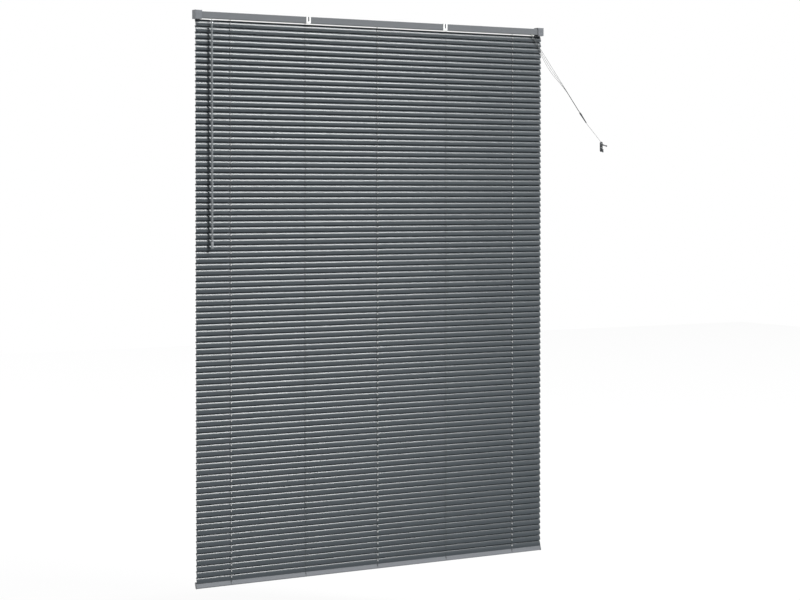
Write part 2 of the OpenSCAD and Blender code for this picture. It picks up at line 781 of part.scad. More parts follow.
// Button pressed in from behind, which clamps the ladder's ends and the lift cord's knot
module rail_plug(i) {
  head_t = 2.2;
  head_r = 5.5;
  color(dark_plastic) on_rail(ladder_x[i]) {
    translate([0, -rail_t / 2, 0]) rotate([-90, 0, 0]) cylinder(h = rail_t, r = plug_r - run_gap);
    translate([0, -rail_t / 2 - head_t, 0]) rotate([-90, 0, 0]) cylinder(h = head_t, r = head_r);
  }
}

// Lift cords, whole from the bottom rail through the slats and along the headrail to the cord lock's mouth

function on_face(a, b) = [
  mid_y - a * cos(slat_tilt) - b * sin(slat_tilt),
  rail_z - a * sin(slat_tilt) + b * cos(slat_tilt)];

function lift_route(k) =
  let (x = ladder_x[cord_ladders[k]] + cord_offset, y = lane_y[k], rest = rail_t / 2 + cord_d / 2 + seat_gap,
    a = on_face(-1, rest), b = on_face(-rail_w / 2 + rail_r + 1, rest))
  concat(
    [[x, a[0], a[1]], [x, b[0], b[1]], [x, cord_y, b[1] + 3.5], [x, cord_y, head_low]],
    [[x, cord_y - 0.3, lane_z - 1.5], [x, cord_y - 1.2, lane_z - 0.3], [x, cord_y - 2.4, lane_z]],
    [[x + 0.3, y + 1.2, lane_z], [x + 1.2, y + 0.3, lane_z], [x + 3, y, lane_z], [lock_x, y, lane_z]],
    [for (q = [bend_angle / 2, bend_angle]) [lock_x + bend_r * sin(q), y, pin_z + bend_r * cos(q)]],
    [[exit_x, y, exit_z]]);

module lift_cord(k) {
  color(cord_colour) tube(lift_route(k), cord_d, [1, 0, 0]);
}

// Wand

// Wire link, upright and facing the room, its lower bar through the wand's tang
module wand_hook() {
  color("silver") translate(eye) {
    rotate([90, 0, 0]) rotate(180) rotate_extrude(angle = 180) translate([dip_r, 0]) circle(wire_r);
    for (s = [-1, 1]) {
      translate([s * dip_r, 0, 0]) sphere(wire_r);
      translate([s * link_half, 0, 0]) sphere(wire_r);
      translate([s * link_half, 0, -link_l]) cylinder(h = link_l, r = wire_r);
      translate([s * link_half, 0, -link_l]) sphere(wire_r);
    }
    bar_x(dip_r, link_half, 0, 0, wire_r);
    bar_x(-link_half, -dip_r, 0, 0, wire_r);
    bar_x(-link_half, link_half, 0, -link_l, wire_r);
  }
}

// Six-sided rod with a flat tang at the top, drilled for the link
module wand() {
  r = wand_af / 2 / cos(30);
  body_l = wand_l - tip_l - tang_l;
  color("#8d9194") difference() {
    translate([eye[0], eye[1], 0]) union() {
      translate([0, 0, wand_top_z - body_l]) cylinder(h = body_l, r = r, $fn = 6);
      block([-tang_t / 2, -2.4, wand_top_z - past], [tang_t / 2, 2.4, link_pin_z]);
      bar_x(-tang_t / 2, tang_t / 2, 0, link_pin_z, 2.4);
    }
    bar_x(eye[0] - past - tang_t, eye[0] + tang_t + past, eye[1], link_pin_z, wire_r + run_gap);
  }
}

// Turned grip on the wand's lower end
module wand_tip() {
  r = wand_af / 2 / cos(30) + 0.5;
  low = wand_top_z + tang_l - wand_l;
  color("#7f8386") translate([eye[0], eye[1], low]) rotate_extrude()
    polygon([[0, 0], [r - 1.6, 0], [r, 2], [r, tip_l - 3], [r - 1, tip_l], [0, tip_l]]);
}

// Free cords and what is on them

function pull_route(k) = [for (i = [0:pull_steps])
  let (y_end = connector_y + (k - 1) * connector_gap, t = max(0, min(1, (i - 1) / (pull_steps - 2))))
  [pull_start[0] + i * pull_step[0],
    lane_y[k] + (y_end - lane_y[k]) * t,
    pull_start[1] + i * pull_step[1] - pull_slack[k] * pull_sag[i]]];

module pull_cord(k) {
  color(cord_colour) tube(pull_route(k), cord_d);
}

// Slim tapered connector that gathers the three cords into one
module cord_connector() {
  top_r = 3.6;
  tip_r = 2.2;
  color(dark_plastic) translate([connector_top[0], connector_y, connector_top[1]])
    rotate([0, 90 + atan2(-leave[1], leave[0]), 0]) rotate_extrude()
      polygon([[0, 0], [top_r - 0.8, 0], [top_r, 0.8], [top_r, 14], [top_r - 0.5, 15], [top_r - 0.5, 18],
        [tip_r, connector_l - 1], [tip_r - 0.6, connector_l], [0, connector_l]]);
}

module tail_cord() {
  color(cord_colour) tube(tail_route, cord_d);
}

// Cleat: the upper horn stands out and droops to a ball, the lower horn hooks down to a ball
module cord_cleat() {
  root_z = cleat_z + horn_rise;
  lower_z = cleat_z - lower_fall;
  color(dark_plastic) difference() {
    union() {
      translate([cleat_x, 0, cleat_z]) rotate([90, 0, 0]) linear_extrude(cleat_t)
        rotate(90) slot(cleat_h, cleat_w);
      bar_y(-horn_out, -cleat_t / 2, cleat_x, root_z, horn_root_r);
      translate([cleat_x, -horn_out + horn_root_r, root_z]) rotate([90 + droop_angle, 0, 0]) finger(droop_l);
      bar_y(-lower_out, -cleat_t / 2, cleat_x, lower_z, horn_root_r);
      translate([cleat_x, -lower_out, lower_z]) {
        sphere(horn_root_r + 0.3);
        rotate([180, 0, 0]) finger(lower_l);
      }
    }
    for (z = cleat_screws) bar_y(-cleat_t - past, past, cleat_x, cleat_z + z, cleat_screw_r);
  }
}

// Tapered finger along Z with a ball on its end
module finger(l) {
  cylinder(h = l, r1 = finger_r, r2 = finger_r - 0.5);
  translate([0, 0, l]) sphere(ball_r);
}

headrail();
headrail_end_cap_left();
headrail_end_cap_right();
box_bracket_left();
box_bracket_right();
bracket_door_left();
bracket_door_right();
centre_support_left();
centre_support_right();
tilter_housing();
tilter_lid();
tilter_gear();
tilter_worm();
tilt_rod();
for (i = [0:ladder_count - 1]) {
  ladder_drum(i);
  drum_cradle(i);
  rail_plug(i);
}
cord_lock_housing();
cord_lock_pin();
cord_lock_roller();
slats();
bottom_rail();
rail_end_cap_left();
rail_end_cap_right();
wand_hook();
wand();
wand_tip();
for (k = [0:2]) {
  lift_cord(k);
  pull_cord(k);
}
cord_connector();
tail_cord();
cord_cleat();
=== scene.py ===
import math

import bpy
import numpy as np
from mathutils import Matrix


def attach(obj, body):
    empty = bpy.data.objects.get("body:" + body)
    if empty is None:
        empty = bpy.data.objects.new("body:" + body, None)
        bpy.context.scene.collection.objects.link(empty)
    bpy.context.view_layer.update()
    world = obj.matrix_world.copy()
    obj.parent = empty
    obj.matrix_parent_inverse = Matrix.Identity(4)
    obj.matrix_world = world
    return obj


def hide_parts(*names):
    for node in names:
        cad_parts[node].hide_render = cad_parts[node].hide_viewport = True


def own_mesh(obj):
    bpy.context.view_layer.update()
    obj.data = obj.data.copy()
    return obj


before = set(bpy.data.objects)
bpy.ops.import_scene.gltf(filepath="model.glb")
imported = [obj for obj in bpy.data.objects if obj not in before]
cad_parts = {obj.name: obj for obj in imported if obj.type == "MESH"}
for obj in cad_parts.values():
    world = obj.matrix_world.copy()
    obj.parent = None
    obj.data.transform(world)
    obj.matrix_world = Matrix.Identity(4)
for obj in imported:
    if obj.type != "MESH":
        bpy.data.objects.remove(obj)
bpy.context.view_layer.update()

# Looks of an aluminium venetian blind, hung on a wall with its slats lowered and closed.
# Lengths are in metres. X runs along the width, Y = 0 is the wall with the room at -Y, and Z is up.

# Slats: a parabola across the chord, tilted until they close
SLAT_COUNT = 93
SLAT_PITCH = 0.02305
SLAT_FIRST_Z = -0.0293
SLAT_MID_Y = -0.0145
SLAT_LENGTH = 1.590
SLAT_HALF_WIDTH = 0.0125
SLAT_CROWN = 0.0022
SLAT_THICKNESS = 0.0002
SLAT_TILT = math.radians(71)
SLAT_CORNER = 0.004
ROUTE_SLOT_WIDTH = 0.0045
ROUTE_SLOT_LENGTH = 0.0075

# Rows of a slat's grid: shares of a slot's round end, a plain row, and shares of a corner's radius
SLOT_ROWS = np.array([0, 0.4, 0.8, 1.0])
PLAIN_ROW = 0.0063
CORNER_ROWS = np.array([0.0, 0.35, 0.65, 0.88, 1.0])

# Bottom rail: the height of its middle, its face from there, and what strings and cords keep off it
RAIL_Z = -2.1699
RAIL_FACE = 0.0045
RAIL_CLEARANCE = 0.0002

# Ladders
LADDER_X = np.linspace(-0.650, 0.650, 5)
FRONT_STRING_Y = -0.01906
BACK_STRING_Y = -0.00974
STRING_RADIUS = 0.0005
STRING_SIDES = 8
STRING_TOP = -0.002
FRONT_STRING_END = RAIL_Z + 0.0015
BACK_STRING_END = RAIL_Z + 0.0135
OVER_RAIL = (-0.001, 0.003, 0.006, 0.0095)
KNOT_REACH = 0.0011
KNOT_SWELL = 1.35
RUNG_RADIUS = 0.00028
RUNG_SIDES = 5
RUNG_POINTS = 9
RUNG_GAP = 1.3 * RUNG_RADIUS
RUNG_HALF_PAIR = 0.0009

# All cords
CORD_DIAMETER = 0.0014
CORD_SIDES = 10
SIDE_X = np.array([1.0, 0, 0])
SIDE_Y = np.array([0, 1.0, 0])
SIDE_SLANTED = np.array([0.6, 0.6, 0.5])

# Lift cords: the fall through the slats, then two rounded corners and a lane in the headrail.
# A corner is a list of steps, each with how far the cord has left one line and is short of the next.
CORD_LADDERS = (0, 2, 4)
CORD_STEP_X = 0.0022
LIFT_Y = -0.01625
FALL_ON_RAIL = (-0.001, -0.0085)
FALL_OFF_RAIL = 0.0035
FALL_TOP = -0.013
FALL_POINTS = 240
RISE_CORNER = ((0.0003, 0.0015), (0.0012, 0.0003), (0.0024, 0))
LANE_CORNER = ((0.0003, 0.0012), (0.0012, 0.0003), (0.003, 0))
LANE_Y = (-0.0240, -0.0222, -0.0204)
LANE_Z = -0.008
LANE_LEAD = 0.02
LOCK_X = 0.738
PIN_BEND = 0.0024
PIN_POINTS = 7

# Free cords: the routes of the part
LOCK_EXIT = np.array([0.7455, -0.016])
PULL_STEP = np.array([0.0168, -0.0212])
PULL_SAG = 0.001 * np.array([0, 0, 1.6, 3.2, 4.4, 5, 4.8, 4, 2.8, 1.6, 0.6, 0, 0, 0, 0, 0])
PULL_SLACK = (0.2, 2.6, 5.0)
PULL_PARTS = 5
CONNECTOR_Y = -0.018
CONNECTOR_LENGTH = 0.054
CONNECTOR_SPREAD = 0.0017
TAIL_LEAD = 0.008
TAIL_STEP = np.array([0.0099, 0.001, -0.0092])
TAIL_STEPS = 9
TAIL_PARTS = 4
LOOP_RADIUS = 0.00385
LOOP_TURN = math.radians(450)
LOOP_STEPS = 15
LOOP_RISE = 0.0023

# Broken edges of the solids
FINE_EDGE = 0.00015
SHEET_EDGE = 0.0002
CAP_EDGE = 0.0003
PLUG_EDGE = 0.0004
EDGE_ANGLE = math.radians(30)
WELD_REACH = 1e-6

# Surface effects: noise scales per metre, and the shares that colour and gloss vary by
DRIFT_SCALE = 5.0
DRIFT_GLOSS = 0.08
CLOUD_SCALE = 60.0
CLOUD_SHADE = 0.12
GRAIN_GLOSS = 0.1
# The two braid values paint shade into the valleys between strands: a middle factor, and how far the colour
# swings from it with the height
BRAID_PAINTED_SHADE = 0.14
BRAID_MIDDLE = 0.9
STREAK_SCALE = (12, 1800, 1800)
STREAK_SHADE = 0.25
STREAK_GLOSS = 0.2

# Studio. A lamp has an azimuth from straight in front, an elevation, a width and height, and a power.
FLOOR_Z = -2.45
FLOOR_HALF = 14.0
FLOOR_CHALK = (0.6, 0.6, 0.6, 1)
FLOOR_WHITE = 1.03
FLOOR_WHITE_SHARE = 0.9
WHITE = (1, 1, 1, 1)
WORLD_LIGHT = 0.14
LIGHT_CENTRE = np.array([0.0, 0.0, -1.1])
LAMP_DISTANCE = 25.0
LAMPS = (
    ("key_light", 41, 60, (2.0, 2.0), 3200),
    ("strip_light", 34.5, 39.5, (6.2, 4.2), 5500),
    ("side_light", 42, 18, (4.4, 6.0), 170),
    ("end_light", -72, 15, (5.0, 5.0), 1500),
    ("back_light", 205, 35, (6.0, 6.0), 3500))

# Camera, fitted to the photograph
CAMERA_PLACE = (-3.9021, -6.7339, -0.6808)
CAMERA_YAW = math.radians(30.828)
CAMERA_PITCH = math.radians(1.245)
CAMERA_LENS = 87.43
CAMERA_SENSOR = 36
CAMERA_SHIFT_Y = -0.0792
CAMERA_REACH = 100


# Meshes

def put_mesh(name, points, faces, uv=None, sharp=40):
    """Makes a piece from points and a list of index arrays, one array for each number of corners. Edges that
    bend by more than `sharp` degrees stay crisp and the rest is shaded smooth."""
    mesh = bpy.data.meshes.new(name)
    mesh.from_pydata(points.tolist(), [], [f for block in faces for f in block.tolist()])
    if uv is not None:
        layer = mesh.uv_layers.new(name="along_cord")
        layer.data.foreach_set("uv", uv.astype(np.float32).ravel())
    mesh.polygons.foreach_set("use_smooth", np.ones(len(mesh.polygons), bool))
    mesh.set_sharp_from_angle(angle=math.radians(sharp))
    mesh.update()
    piece = bpy.data.objects.new(name, mesh)
    bpy.context.scene.collection.objects.link(piece)
    return piece


def copies(points, faces, offsets):
    """One shape repeated at each offset: the points are shifted and the indices counted on."""
    step = len(points) * np.arange(len(offsets))
    many = (points[None] + offsets[:, None]).reshape(-1, 3)
    return many, [(f[None] + step[:, None, None]).reshape(-1, f.shape[1]) for f in faces]


def thicken(outer, inner, quads):
    """Closes a sheet into a wall: the outer face, the inner face turned round, and a rim quad on every edge
    that only one face uses."""
    edges = np.concatenate([quads[:, [k, (k + 1) % 4]] for k in range(4)])
    edges = edges[edges[:, 0] != edges[:, 1]]
    size = len(outer)
    forward = edges[:, 0] * size + edges[:, 1]
    backward = edges[:, 1] * size + edges[:, 0]
    rim = edges[~np.isin(forward, backward)]
    rim_quads = np.column_stack([rim[:, 1], rim[:, 0], rim[:, 0] + size, rim[:, 1] + size])
    return np.concatenate([outer, inner]), [quads, quads[:, ::-1] + size, rim_quads]


def smooth_route(points, parts):
    """Catmull-Rom curve through the points, each span split into `parts`."""
    p = np.vstack([2 * points[0] - points[1], points, 2 * points[-1] - points[-2]])
    t = (np.arange(parts) / parts)[None, :, None]
    a, b, c, d = (p[k:len(p) - 3 + k, None] for k in range(4))
    square, cube = 2 * a - 5 * b + 4 * c - d, 3 * b - a - 3 * c + d
    curve = 0.5 * (2 * b + (c - a) * t + square * t ** 2 + cube * t ** 3)
    return np.vstack([curve.reshape(-1, 3), points[-1:]])


def tube(path, radius, sides, side):
    """A circle carried along a path: each ring is the path's point plus the radius times cosine and sine on
    two vectors square to the path, the first of them nearest to `side`. Gives points, quads with two end
    caps, and a UV map with the turn in U and the length in V."""
    ahead = np.gradient(path, axis=0)
    ahead /= np.linalg.norm(ahead, axis=1, keepdims=True)
    across = side - (ahead @ side)[:, None] * ahead
    across /= np.linalg.norm(across, axis=1, keepdims=True)
    up = np.cross(ahead, across)
    turn = 2 * np.pi * np.arange(sides) / sides
    wide = np.broadcast_to(radius, len(path))[:, None, None]
    ring = np.cos(turn)[None, :, None] * across[:, None] + np.sin(turn)[None, :, None] * up[:, None]
    points = (path[:, None] + wide * ring).reshape(-1, 3)
    i, k = np.meshgrid(np.arange(len(path) - 1), np.arange(sides), indexing="ij")
    i, k = i.ravel(), k.ravel()
    nxt = (k + 1) % sides
    quads = np.column_stack([i * sides + k, i * sides + nxt, (i + 1) * sides + nxt, (i + 1) * sides + k])
    ends = np.array([np.arange(sides)[::-1], (len(path) - 1) * sides + np.arange(sides)])
    length = np.concatenate([[0], np.cumsum(np.linalg.norm(np.diff(path, axis=0), axis=1))])
    u = np.column_stack([k, k + 1, k + 1, k]) / sides
    v = length[np.column_stack([i, i, i + 1, i + 1])]
    cap_uv = np.zeros((2 * sides, 2))
    return points, [quads, ends], np.vstack([np.dstack([u, v]).reshape(-1, 2), cap_uv])


# Shared surface effects

SURFACE = [("Colour", "NodeSocketColor"), ("Roughness", "NodeSocketFloat"), ("Height", "NodeSocketFloat")]


def new_group(name, inputs, outputs):
    """An empty node group with its sockets, and the nodes that stand for them inside it."""
    group = bpy.data.node_groups.new(name, "ShaderNodeTree")
    for label, kind, value in inputs:
        socket = group.interface.new_socket(label, in_out="INPUT", socket_type=kind)
        socket.default_value = value
    for label, kind in outputs:
        group.interface.new_socket(label, in_out="OUTPUT", socket_type=kind)
    return group, group.nodes.new("NodeGroupInput"), group.nodes.new("NodeGroupOutput")


def add_node(tree, kind, links=(), **values):
    """Adds a node, sets its named properties or inputs, and links sockets into it."""
    node = tree.nodes.new(kind)
    for key, value in values.items():
        if hasattr(node, key):
            setattr(node, key, value)
        else:
            node.inputs[key.replace("_", " ")].default_value = value
    for target, source in links:
        tree.links.new(source, node.inputs[target])
    return node


def math_node(tree, operation, a, b=None):
    """The result of one sum on sockets or plain numbers."""
    node = tree.nodes.new("ShaderNodeMath")
    node.operation = operation
    for k, value in enumerate(v for v in (a, b) if v is not None):
        if isinstance(value, (int, float)):
            node.inputs[k].default_value = value
        else:
            tree.links.new(value, node.inputs[k])
    return node.outputs[0]


def raised(tree, base, wave, share):
    """The base value plus a share of the wave."""
    return math_node(tree, "ADD", math_node(tree, "MULTIPLY", wave, share), base)


def shaded(tree, colour, shade):
    """The colour made lighter or darker by a factor."""
    links = [(0, colour), ("Scale", shade)]
    return add_node(tree, "ShaderNodeVectorMath", links, operation="SCALE").outputs[0]


def give_out(group, out, sockets):
    """Links sockets to the group's outputs by name and hands the group back."""
    for label, socket in sockets.items():
        group.links.new(socket, out.inputs[label])
    return group


def make_lacquer_group():
    """Baked lacquer on metal: slow drifts in the colour and the gloss, and fine orange peel in the height."""
    group, inp, out = new_group(
        "baked_lacquer",
        [("Colour", "NodeSocketColor", (0.1, 0.1, 0.1, 1)), ("Drift", "NodeSocketFloat", 0.1),
         ("Gloss", "NodeSocketFloat", 0.4), ("Peel size", "NodeSocketFloat", 900)], SURFACE)
    where = add_node(group, "ShaderNodeTexCoord").outputs["Object"]
    slow = add_node(group, "ShaderNodeTexNoise", [("Vector", where)], Scale=DRIFT_SCALE, Detail=2.0)
    finely = [("Vector", where), ("Scale", inp.outputs["Peel size"])]
    peel = add_node(group, "ShaderNodeTexNoise", finely, Detail=1.0)
    lean = math_node(group, "SUBTRACT", slow.outputs["Fac"], 0.5)
    shade = raised(group, 1.0, lean, inp.outputs["Drift"])
    return give_out(group, out, {
        "Colour": shaded(group, inp.outputs["Colour"], shade),
        "Roughness": raised(group, inp.outputs["Gloss"], lean, DRIFT_GLOSS),
        "Height": peel.outputs["Fac"]})


def make_moulding_group():
    """Moulded plastic: a fine spark-eroded grain in the height and the gloss, and faint flow clouds in the
    colour."""
    group, inp, out = new_group(
        "moulded_grain",
        [("Colour", "NodeSocketColor", (0.1, 0.1, 0.1, 1)), ("Gloss", "NodeSocketFloat", 0.5),
         ("Grain size", "NodeSocketFloat", 2500)], SURFACE)
    where = add_node(group, "ShaderNodeTexCoord").outputs["Object"]
    cloud = add_node(group, "ShaderNodeTexNoise", [("Vector", where)], Scale=CLOUD_SCALE, Detail=3.0)
    finely = [("Vector", where), ("Scale", inp.outputs["Grain size"])]
    grain = add_node(group, "ShaderNodeTexNoise", finely, Detail=2.0)
    lean = math_node(group, "SUBTRACT", cloud.outputs["Fac"], 0.5)
    shade = raised(group, 1.0, lean, CLOUD_SHADE)
    return give_out(group, out, {
        "Colour": shaded(group, inp.outputs["Colour"], shade),
        "Roughness": raised(group, inp.outputs["Gloss"], grain.outputs["Fac"], GRAIN_GLOSS),
        "Height": grain.outputs["Fac"]})


def make_braid_group():
    """Braided cord: two families of strands wind round the cord in opposite senses, so the height is the
    larger of two slanted waves, and the valleys between strands are darkened with painted shade."""
    group, inp, out = new_group(
        "braid",
        [("Colour", "NodeSocketColor", (0.5, 0.5, 0.5, 1)), ("Strands", "NodeSocketFloat", 4.0),
         ("Plaits per metre", "NodeSocketFloat", 900.0)],
        [("Colour", "NodeSocketColor"), ("Height", "NodeSocketFloat")])
    where = add_node(group, "ShaderNodeTexCoord").outputs["UV"]
    uv = add_node(group, "ShaderNodeSeparateXYZ", [(0, where)])
    strand = math_node(group, "MULTIPLY", uv.outputs["X"], inp.outputs["Strands"])
    plait = math_node(group, "MULTIPLY", uv.outputs["Y"], inp.outputs["Plaits per metre"])
    turn = math_node(group, "MULTIPLY", strand, 2 * math.pi)
    along = math_node(group, "MULTIPLY", plait, 2 * math.pi)
    one = math_node(group, "SINE", math_node(group, "ADD", turn, along))
    two = math_node(group, "SINE", math_node(group, "SUBTRACT", turn, along))
    height = math_node(group, "MAXIMUM", one, two)
    # Painted shade: the colour follows the braid's height, darker in the valleys between strands
    shade = raised(group, BRAID_MIDDLE, height, BRAID_PAINTED_SHADE)
    return give_out(group, out, {
        "Colour": shaded(group, inp.outputs["Colour"], shade),
        "Height": height})


def make_drawn_group():
    """Drawn or rolled metal: streaks that run along X, in the colour, the gloss and the height."""
    group, inp, out = new_group(
        "drawn_streaks",
        [("Colour", "NodeSocketColor", (0.5, 0.5, 0.5, 1)), ("Gloss", "NodeSocketFloat", 0.3)], SURFACE)
    where = add_node(group, "ShaderNodeTexCoord").outputs["Object"]
    long_way = add_node(group, "ShaderNodeMapping", [("Vector", where)], Scale=STREAK_SCALE)
    streak = add_node(group, "ShaderNodeTexNoise", [("Vector", long_way.outputs[0])], Scale=1.0, Detail=3.0)
    lean = math_node(group, "SUBTRACT", streak.outputs["Fac"], 0.5)
    shade = raised(group, 1.0, lean, STREAK_SHADE)
    return give_out(group, out, {
        "Colour": shaded(group, inp.outputs["Colour"], shade),
        "Roughness": raised(group, inp.outputs["Gloss"], lean, STREAK_GLOSS),
        "Height": streak.outputs["Fac"]})


LACQUER = make_lacquer_group()
MOULDING = make_moulding_group()
BRAID = make_braid_group()
DRAWN = make_drawn_group()


# Materials

def srgb(r, g, b):
    """A colour given as it looks on screen, 0 to 255, as the linear light that shaders take."""
    c = np.array([r, g, b]) / 255
    linear = np.where(c <= 0.04045, c / 12.92, ((c + 0.055) / 1.055) ** 2.4)
    return (*linear.tolist(), 1.0)


def finish_material(name, group, values, bump=0.0, bump_distance=0.0001, **shader):
    """A material whose colour, roughness and height come from one surface group. Constants sit on the
    shader."""
    material = bpy.data.materials.new(name)
    material.use_nodes = True
    tree = material.node_tree
    skin = tree.nodes["Principled BSDF"]
    surface = tree.nodes.new("ShaderNodeGroup")
    surface.node_tree = group
    for key, value in values.items():
        surface.inputs[key].default_value = value
    tree.links.new(surface.outputs["Colour"], skin.inputs["Base Color"])
    if "Roughness" in surface.outputs:
        tree.links.new(surface.outputs["Roughness"], skin.inputs["Roughness"])
    if bump:
        relief = add_node(tree, "ShaderNodeBump", [("Height", surface.outputs["Height"])])
        relief.inputs["Strength"].default_value = bump
        relief.inputs["Distance"].default_value = bump_distance
        tree.links.new(relief.outputs["Normal"], skin.inputs["Normal"])
    for key, value in shader.items():
        skin.inputs[key.replace("_", " ")].default_value = value
    return material


SLAT_LACQUER = finish_material(
    "slat_lacquer", LACQUER,
    {"Colour": srgb(60, 66, 70), "Drift": 0.12, "Gloss": 0.22, "Peel size": 700},
    bump=0.02, Specular_IOR_Level=0.2)
HEADRAIL_LACQUER = finish_material(
    "headrail_lacquer", LACQUER,
    {"Colour": srgb(104, 107, 110), "Drift": 0.10, "Gloss": 0.42, "Peel size": 700},
    bump=0.04, Specular_IOR_Level=0.2)
BRACKET_ENAMEL = finish_material(
    "bracket_enamel", LACQUER,
    {"Colour": srgb(112, 115, 119), "Drift": 0.15, "Gloss": 0.45, "Peel size": 1200},
    bump=0.08, Specular_IOR_Level=0.2)
RAIL_LACQUER = finish_material(
    "rail_lacquer", LACQUER,
    {"Colour": srgb(108, 111, 115), "Drift": 0.10, "Gloss": 0.42, "Peel size": 700},
    bump=0.04, Specular_IOR_Level=0.2)
SUPPORT_WHITE = finish_material(
    "support_white", LACQUER,
    {"Colour": srgb(236, 237, 236), "Drift": 0.05, "Gloss": 0.40, "Peel size": 1200}, bump=0.06)
INNER_PLASTIC = finish_material(
    "inner_plastic", MOULDING, {"Colour": srgb(206, 208, 205), "Gloss": 0.42, "Grain size": 2200}, bump=0.1)
LOCK_PLASTIC = finish_material(
    "lock_plastic", MOULDING, {"Colour": srgb(178, 182, 172), "Gloss": 0.42, "Grain size": 2200}, bump=0.1)
DARK_PLASTIC = finish_material(
    "dark_plastic", MOULDING, {"Colour": srgb(62, 65, 68), "Gloss": 0.38, "Grain size": 2600}, bump=0.12)
RAIL_CAP_PLASTIC = finish_material(
    "rail_cap_plastic", MOULDING, {"Colour": srgb(82, 85, 88), "Gloss": 0.40, "Grain size": 2600}, bump=0.12)
WAND_PLASTIC = finish_material(
    "wand_plastic", MOULDING, {"Colour": srgb(146, 151, 154), "Gloss": 0.14, "Grain size": 900}, bump=0.02,
    Transmission_Weight=0.55, IOR=1.49)
WAND_GRIP = finish_material(
    "wand_grip", MOULDING, {"Colour": srgb(128, 132, 135), "Gloss": 0.25, "Grain size": 1800}, bump=0.06)
ZINC_STEEL = finish_material(
    "zinc_steel", DRAWN, {"Colour": srgb(190, 192, 194), "Gloss": 0.28}, bump=0.05, Metallic=1.0)
BRASS = finish_material(
    "brass", DRAWN, {"Colour": srgb(200, 168, 100), "Gloss": 0.30}, bump=0.05, Metallic=1.0)
CORD_BRAID = finish_material(
    "cord_braid", BRAID, {"Colour": srgb(98, 101, 102), "Strands": 4.0, "Plaits per metre": 600.0},
    bump=0.6, bump_distance=0.00012, Roughness=0.8, Sheen_Weight=0.05)
GREY_BRAID = finish_material(
    "grey_braid", BRAID, {"Colour": srgb(52, 55, 57), "Strands": 3.0, "Plaits per metre": 900.0},
    bump=0.6, bump_distance=0.00008, Roughness=0.8, Sheen_Weight=0.15)


# Carried-over solids

def dress(node, material, edge=FINE_EDGE):
    """Gives a solid its finish and breaks its edges: doubles are merged, then edges that bend by more than
    EDGE_ANGLE are rounded."""
    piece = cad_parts[node]
    piece.data.materials.clear()
    piece.data.materials.append(material)
    weld = piece.modifiers.new("merged_corners", "WELD")
    weld.merge_threshold = WELD_REACH
    bevel = piece.modifiers.new("broken_edges", "BEVEL")
    bevel.width = edge
    bevel.segments = 2
    bevel.limit_method = "ANGLE"
    bevel.angle_limit = EDGE_ANGLE
    bevel.harden_normals = True


for side in ("left", "right"):
    dress(f"box_bracket_{side}", BRACKET_ENAMEL, SHEET_EDGE)
    dress(f"bracket_door_{side}", BRACKET_ENAMEL, SHEET_EDGE)
    dress(f"headrail_end_cap_{side}", BRACKET_ENAMEL, SHEET_EDGE)
    dress(f"centre_support_{side}", SUPPORT_WHITE, SHEET_EDGE)
    dress(f"rail_end_cap_{side}", RAIL_CAP_PLASTIC, CAP_EDGE)
for number in range(1, len(LADDER_X) + 1):
    dress(f"ladder_drum_{number}", INNER_PLASTIC)
    dress(f"drum_cradle_{number}", INNER_PLASTIC)
    dress(f"rail_plug_{number}", DARK_PLASTIC, PLUG_EDGE)
for node, finish in {
        "headrail": HEADRAIL_LACQUER, "bottom_rail": RAIL_LACQUER, "tilter_housing": INNER_PLASTIC,
        "tilter_lid": INNER_PLASTIC, "tilter_gear": BRASS, "tilter_worm": ZINC_STEEL, "tilt_rod": ZINC_STEEL,
        "cord_lock_housing": LOCK_PLASTIC, "cord_lock_pin": ZINC_STEEL, "cord_lock_roller": BRASS,
        "wand_hook": ZINC_STEEL, "wand": WAND_PLASTIC, "wand_tip": WAND_GRIP, "cord_connector": DARK_PLASTIC,
        "cord_cleat": DARK_PLASTIC}.items():
    dress(node, finish)


# Slats

def slat_point(x, c, depth):
    """A slat's surface: x along its length, c down its chord, depth under the convex face. The crown is a
    parabola over the chord, and the whole section is turned by the tilt."""
    crown = SLAT_CROWN * (1 - (c / SLAT_HALF_WIDTH) ** 2) - depth
    y = SLAT_MID_Y - c * math.cos(SLAT_TILT) - crown * math.sin(SLAT_TILT)
    z = -c * math.sin(SLAT_TILT) + crown * math.cos(SLAT_TILT)
    return np.stack([x, y, z], axis=-1)


def slat_sheet():
    """One slat as a grid of rows down the chord and columns along the length. The end columns follow rounded
    corners. Each route slot is a pair of columns that part by the slot's half width and meet at its ends."""
    straight = ROUTE_SLOT_LENGTH / 2 - ROUTE_SLOT_WIDTH / 2
    in_slot = SLOT_ROWS * ROUTE_SLOT_WIDTH / 2 + straight
    in_corner = SLAT_HALF_WIDTH - SLAT_CORNER + SLAT_CORNER * CORNER_ROWS
    half_rows = np.concatenate([[0.0], in_slot, [PLAIN_ROW], in_corner])
    c = np.concatenate([-half_rows[:0:-1], half_rows])
    round_off = np.clip((np.abs(c) - SLAT_HALF_WIDTH + SLAT_CORNER) / SLAT_CORNER, 0, 1)
    end = SLAT_LENGTH / 2 - SLAT_CORNER * (1 - np.sqrt(1 - round_off ** 2))
    past = np.clip(np.abs(c) - straight, 0, None)
    part = np.sqrt(np.clip((ROUTE_SLOT_WIDTH / 2) ** 2 - past ** 2, 0, None))
    slot_x = LADDER_X[list(CORD_LADDERS)] + CORD_STEP_X
    columns = [-end] + [x + s * part for x in slot_x for s in (-1, 1)] + [end]
    x = np.stack(columns, axis=1)
    rows, width = x.shape
    index = np.arange(rows * width).reshape(rows, width)
    shut = part < 1e-9
    for column in range(1, width - 1, 2):
        index[shut, column + 1] = index[shut, column]
    spans = np.arange(0, width, 2)
    left, right = index[:, spans], index[:, spans + 1]
    quads = np.stack([left[:-1], left[1:], right[1:], right[:-1]], axis=-1)
    chord = np.broadcast_to(c[:, None], x.shape)
    outer = slat_point(x, chord, 0.0).reshape(-1, 3)
    inner = slat_point(x, chord, SLAT_THICKNESS).reshape(-1, 3)
    return thicken(outer, inner, quads.reshape(-1, 4))


